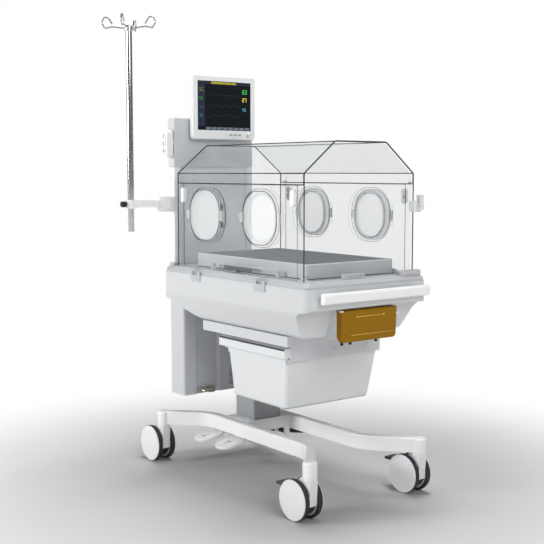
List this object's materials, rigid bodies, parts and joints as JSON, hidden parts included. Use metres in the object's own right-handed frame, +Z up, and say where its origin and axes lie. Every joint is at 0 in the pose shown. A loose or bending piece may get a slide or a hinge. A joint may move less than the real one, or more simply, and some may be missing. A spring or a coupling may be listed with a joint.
{
  "type": "infant incubator",
  "caption": "Closed hooded infant incubator with hand ports, a tilting bed and monitor, a storage drawer and an infusion pole on a height-adjustable wheeled stand.",
  "frame": {"origin": "on the floor midway between the four caster swivel axes", "axes": "+X towards the foot end with the push handle, -Y towards the front with the tilt control, +Z up"},
  "size_m": [1.153, 0.8527, 1.8443],
  "materials": {
    "stand_paint": "gloss white powder coat",
    "column_metal": "satin light grey",
    "caster_white": "moulded white with a dark lower cover",
    "hub_plastic": "moulded light grey",
    "tread": "dark rubber tread",
    "brake_plastic": "dark grey lever",
    "pedal_white": "white pad with arrow",
    "pedal_rubber": "black ribbed rubber",
    "frame_paint": "gloss white paint",
    "shell_plastic": "gloss white moulded plastic",
    "deck_plastic": "mid grey plastic",
    "handle_plastic": "white grip",
    "housing_plastic": "white moulded housing",
    "inlet_metal": "plated fitting",
    "tower_paint": "grey posts and sheet",
    "box_plastic": "white housing",
    "module_plastic": "white module, dark sockets",
    "acrylic": "clear acrylic",
    "holder_plastic": "grey holder",
    "bracket_plastic": "white clamp block",
    "motor_alu": "cast housing",
    "impeller_plastic": "dark moulded",
    "heater_steel": "steel tube element",
    "drawer_plastic": "light grey drawer",
    "tank_amber": "amber translucent",
    "latch_plastic": "white knob",
    "tray_plastic": "grey tray",
    "mattress_cover": "dark grey cover",
    "slider_plastic": "dark grip",
    "monitor_plastic": "white bezel",
    "screen_glass": "dark display glass",
    "encoder_plastic": "grey knob",
    "pole_chrome": "polished tube",
    "knob_black": "black knob"
  },
  "bodies": {
    "base": {"base_leg_near": "stand_paint", "base_leg_far": "stand_paint", "base_cross_member": "stand_paint", "column_outer": "column_metal"},
    "chassis": {"column_inner": "column_metal", "support_frame": "frame_paint", "body_shell": "shell_plastic", "deck": "deck_plastic", "handle_bar": "handle_plastic", "rear_housing": "housing_plastic", "gas_inlet": "inlet_metal", "tower": "tower_paint", "control_box": "box_plastic", "sensor_module": "module_plastic", "foot_end_panel": "acrylic", "head_end_panel": "acrylic", "tube_holder": "holder_plastic", "pole_bracket": "bracket_plastic", "fan_motor": "motor_alu", "heater": "heater_steel"},
    "impeller": {"fan_impeller": "impeller_plastic"},
    "drawer": {"drawer_bin": "drawer_plastic"},
    "tank": {"water_tank": "tank_amber"},
    "canopy": {"canopy": "acrylic"},
    "front_panel": {"front_panel": "acrylic"},
    "rear_panel": {"rear_panel": "acrylic"},
    "bed": {"bed_tray": "tray_plastic", "mattress": "mattress_cover"},
    "tilt_slider": {"tilt_slider": "slider_plastic"},
    "monitor": {"monitor_housing": "monitor_plastic", "monitor_screen": "screen_glass"},
    "encoder": {"encoder_knob": "encoder_plastic"},
    "pole": {"iv_pole": "pole_chrome"},
    "clamp_knob": {"pole_clamp_knob": "knob_black"},
    "swivel_near_head": {"caster_fork_near_head": "caster_white"},
    "wheels_near_head": {"caster_hubs_near_head": "hub_plastic", "caster_tyres_near_head": "tread"},
    "swivel_near_foot": {"caster_fork_near_foot": "caster_white"},
    "wheels_near_foot": {"caster_hubs_near_foot": "hub_plastic", "caster_tyres_near_foot": "tread"},
    "swivel_far_foot": {"caster_fork_far_foot": "caster_white"},
    "wheels_far_foot": {"caster_hubs_far_foot": "hub_plastic", "caster_tyres_far_foot": "tread"},
    "swivel_far_head": {"caster_fork_far_head": "caster_white"},
    "wheels_far_head": {"caster_hubs_far_head": "hub_plastic", "caster_tyres_far_head": "tread"},
    "brake_near_foot": {"brake_lever_near_foot": "brake_plastic"},
    "brake_far_foot": {"brake_lever_far_foot": "brake_plastic"},
    "pedal_near_up": {"pedal_near_up": "pedal_white"},
    "pedal_near_down": {"pedal_near_down": "pedal_white"},
    "pedal_far_up": {"pedal_far_up": "pedal_rubber"},
    "pedal_far_down": {"pedal_far_down": "pedal_rubber"},
    "front_latch_head": {"front_latch_head": "latch_plastic"},
    "front_port_door_head": {"front_port_door_head": "acrylic"},
    "front_latch_foot": {"front_latch_foot": "latch_plastic"},
    "front_port_door_foot": {"front_port_door_foot": "acrylic"},
    "rear_latch_head": {"rear_latch_head": "latch_plastic"},
    "rear_port_door_head": {"rear_port_door_head": "acrylic"},
    "rear_latch_foot": {"rear_latch_foot": "latch_plastic"},
    "rear_port_door_foot": {"rear_port_door_foot": "acrylic"}
  },
  "joints": [
    {"name": "swivel_near_head", "type": "hinge", "parent": "base", "child": "swivel_near_head", "pos_m": [-0.49, -0.27, 0.165], "axis": [0, 0, 1], "continuous": true},
    {"name": "wheels_near_head", "type": "hinge", "parent": "swivel_near_head", "child": "wheels_near_head", "pos_m": [-0.538, -0.27, 0.075], "axis": [0, 1, 0], "continuous": true},
    {"name": "swivel_near_foot", "type": "hinge", "parent": "base", "child": "swivel_near_foot", "pos_m": [0.49, -0.27, 0.165], "axis": [0, 0, 1], "continuous": true},
    {"name": "wheels_near_foot", "type": "hinge", "parent": "swivel_near_foot", "child": "wheels_near_foot", "pos_m": [0.442, -0.27, 0.075], "axis": [0, 1, 0], "continuous": true},
    {"name": "swivel_far_foot", "type": "hinge", "parent": "base", "child": "swivel_far_foot", "pos_m": [0.49, 0.27, 0.165], "axis": [0, 0, 1], "continuous": true},
    {"name": "wheels_far_foot", "type": "hinge", "parent": "swivel_far_foot", "child": "wheels_far_foot", "pos_m": [0.442, 0.27, 0.075], "axis": [0, 1, 0], "continuous": true},
    {"name": "swivel_far_head", "type": "hinge", "parent": "base", "child": "swivel_far_head", "pos_m": [-0.49, 0.27, 0.165], "axis": [0, 0, 1], "continuous": true},
    {"name": "wheels_far_head", "type": "hinge", "parent": "swivel_far_head", "child": "wheels_far_head", "pos_m": [-0.538, 0.27, 0.075], "axis": [0, 1, 0], "continuous": true},
    {"name": "brake_near_foot", "type": "hinge", "parent": "swivel_near_foot", "child": "brake_near_foot", "pos_m": [0.41, -0.27, 0.109], "axis": [0, -1, 0], "range_deg": [0, 15]},
    {"name": "brake_far_foot", "type": "hinge", "parent": "swivel_far_foot", "child": "brake_far_foot", "pos_m": [0.41, 0.27, 0.109], "axis": [0, -1, 0], "range_deg": [0, 15]},
    {"name": "pedal_near_up", "type": "hinge", "parent": "base", "child": "pedal_near_up", "pos_m": [-0.135, -0.095, 0.151], "axis": [1, 0, 0], "range_deg": [0, 8], "stiffness_Nm_per_rad": 20, "springref_deg": -5.73},
    {"name": "pedal_near_down", "type": "hinge", "parent": "base", "child": "pedal_near_down", "pos_m": [-0.285, -0.095, 0.151], "axis": [1, 0, 0], "range_deg": [0, 8], "stiffness_Nm_per_rad": 20, "springref_deg": -5.73},
    {"name": "pedal_far_up", "type": "hinge", "parent": "base", "child": "pedal_far_up", "pos_m": [-0.135, 0.095, 0.151], "axis": [-1, 0, 0], "range_deg": [0, 8], "stiffness_Nm_per_rad": 20, "springref_deg": -5.73},
    {"name": "pedal_far_down", "type": "hinge", "parent": "base", "child": "pedal_far_down", "pos_m": [-0.285, 0.095, 0.151], "axis": [-1, 0, 0], "range_deg": [0, 8], "stiffness_Nm_per_rad": 20, "springref_deg": -5.73},
    {"name": "lift_column", "type": "slide", "parent": "base", "child": "chassis", "axis": [0, 0, 1], "range_m": [0, 0.2]},
    {"name": "impeller_spin", "type": "hinge", "parent": "chassis", "child": "impeller", "pos_m": [0.18, 0, 0.752], "axis": [0, 0, 1], "continuous": true},
    {"name": "drawer_slide", "type": "slide", "parent": "chassis", "child": "drawer", "axis": [0, -1, 0], "range_m": [0, 0.3]},
    {"name": "tank_slide", "type": "slide", "parent": "chassis", "child": "tank", "axis": [1, 0, 0], "range_m": [0, 0.12]},
    {"name": "canopy_hinge", "type": "hinge", "parent": "chassis", "child": "canopy", "pos_m": [0.04, 0.2715, 1.1922], "axis": [1, 0, 0], "range_deg": [-95, 0]},
    {"name": "front_panel_hinge", "type": "hinge", "parent": "chassis", "child": "front_panel", "pos_m": [0.04, -0.299, 0.836], "axis": [-1, 0, 0], "range_deg": [-165, 0]},
    {"name": "rear_panel_hinge", "type": "hinge", "parent": "chassis", "child": "rear_panel", "pos_m": [0.04, 0.299, 0.836], "axis": [1, 0, 0], "range_deg": [-165, 0]},
    {"name": "front_latch_head", "type": "hinge", "parent": "front_panel", "child": "front_latch_head", "pos_m": [-0.3154, -0.265, 1.14], "axis": [0, 1, 0], "range_deg": [0, 90]},
    {"name": "front_port_door_head", "type": "hinge", "parent": "front_panel", "child": "front_port_door_head", "pos_m": [-0.039, -0.277, 1.064], "axis": [0, 0, 1], "range_deg": [0, 100]},
    {"name": "front_latch_foot", "type": "hinge", "parent": "front_panel", "child": "front_latch_foot", "pos_m": [0.3944, -0.265, 1.14], "axis": [0, 1, 0], "range_deg": [0, 90]},
    {"name": "front_port_door_foot", "type": "hinge", "parent": "front_panel", "child": "front_port_door_foot", "pos_m": [0.322, -0.277, 1.064], "axis": [0, 0, 1], "range_deg": [0, 100]},
    {"name": "rear_latch_head", "type": "hinge", "parent": "rear_panel", "child": "rear_latch_head", "pos_m": [-0.3154, 0.265, 1.14], "axis": [0, 1, 0], "range_deg": [0, 90]},
    {"name": "rear_port_door_head", "type": "hinge", "parent": "rear_panel", "child": "rear_port_door_head", "pos_m": [-0.039, 0.277, 1.064], "axis": [0, 0, -1], "range_deg": [0, 100]},
    {"name": "rear_latch_foot", "type": "hinge", "parent": "rear_panel", "child": "rear_latch_foot", "pos_m": [0.3944, 0.265, 1.14], "axis": [0, 1, 0], "range_deg": [0, 90]},
    {"name": "rear_port_door_foot", "type": "hinge", "parent": "rear_panel", "child": "rear_port_door_foot", "pos_m": [0.322, 0.277, 1.064], "axis": [0, 0, -1], "range_deg": [0, 100]},
    {"name": "bed_tilt", "type": "hinge", "parent": "chassis", "child": "bed", "pos_m": [0.394, 0, 0.8575], "axis": [0, 1, 0], "range_deg": [0, 12]},
    {"name": "tilt_slider", "type": "slide", "parent": "chassis", "child": "tilt_slider", "axis": [1, 0, 0], "range_m": [0, 0.2]},
    {"name": "monitor_tilt", "type": "hinge", "parent": "chassis", "child": "monitor", "pos_m": [-0.424, -0.024, 1.515], "axis": [0, -1, 0], "range_deg": [0, 15]},
    {"name": "encoder_turn", "type": "hinge", "parent": "monitor", "child": "encoder", "pos_m": [-0.38, 0.097, 1.388], "axis": [1, 0, 0], "continuous": true},
    {"name": "pole_slide", "type": "slide", "parent": "chassis", "child": "pole", "axis": [0, 0, 1], "range_m": [-0.25, 0.08]},
    {"name": "clamp_knob", "type": "hinge", "parent": "chassis", "child": "clamp_knob", "pos_m": [-0.42, -0.485, 1.103], "axis": [0, -1, 0], "range_deg": [0, 180]}
  ],
  "couplings": [
    {"joint": "tilt_slider", "follows": "bed_tilt", "m_per_rad": 0.95}
  ]
}
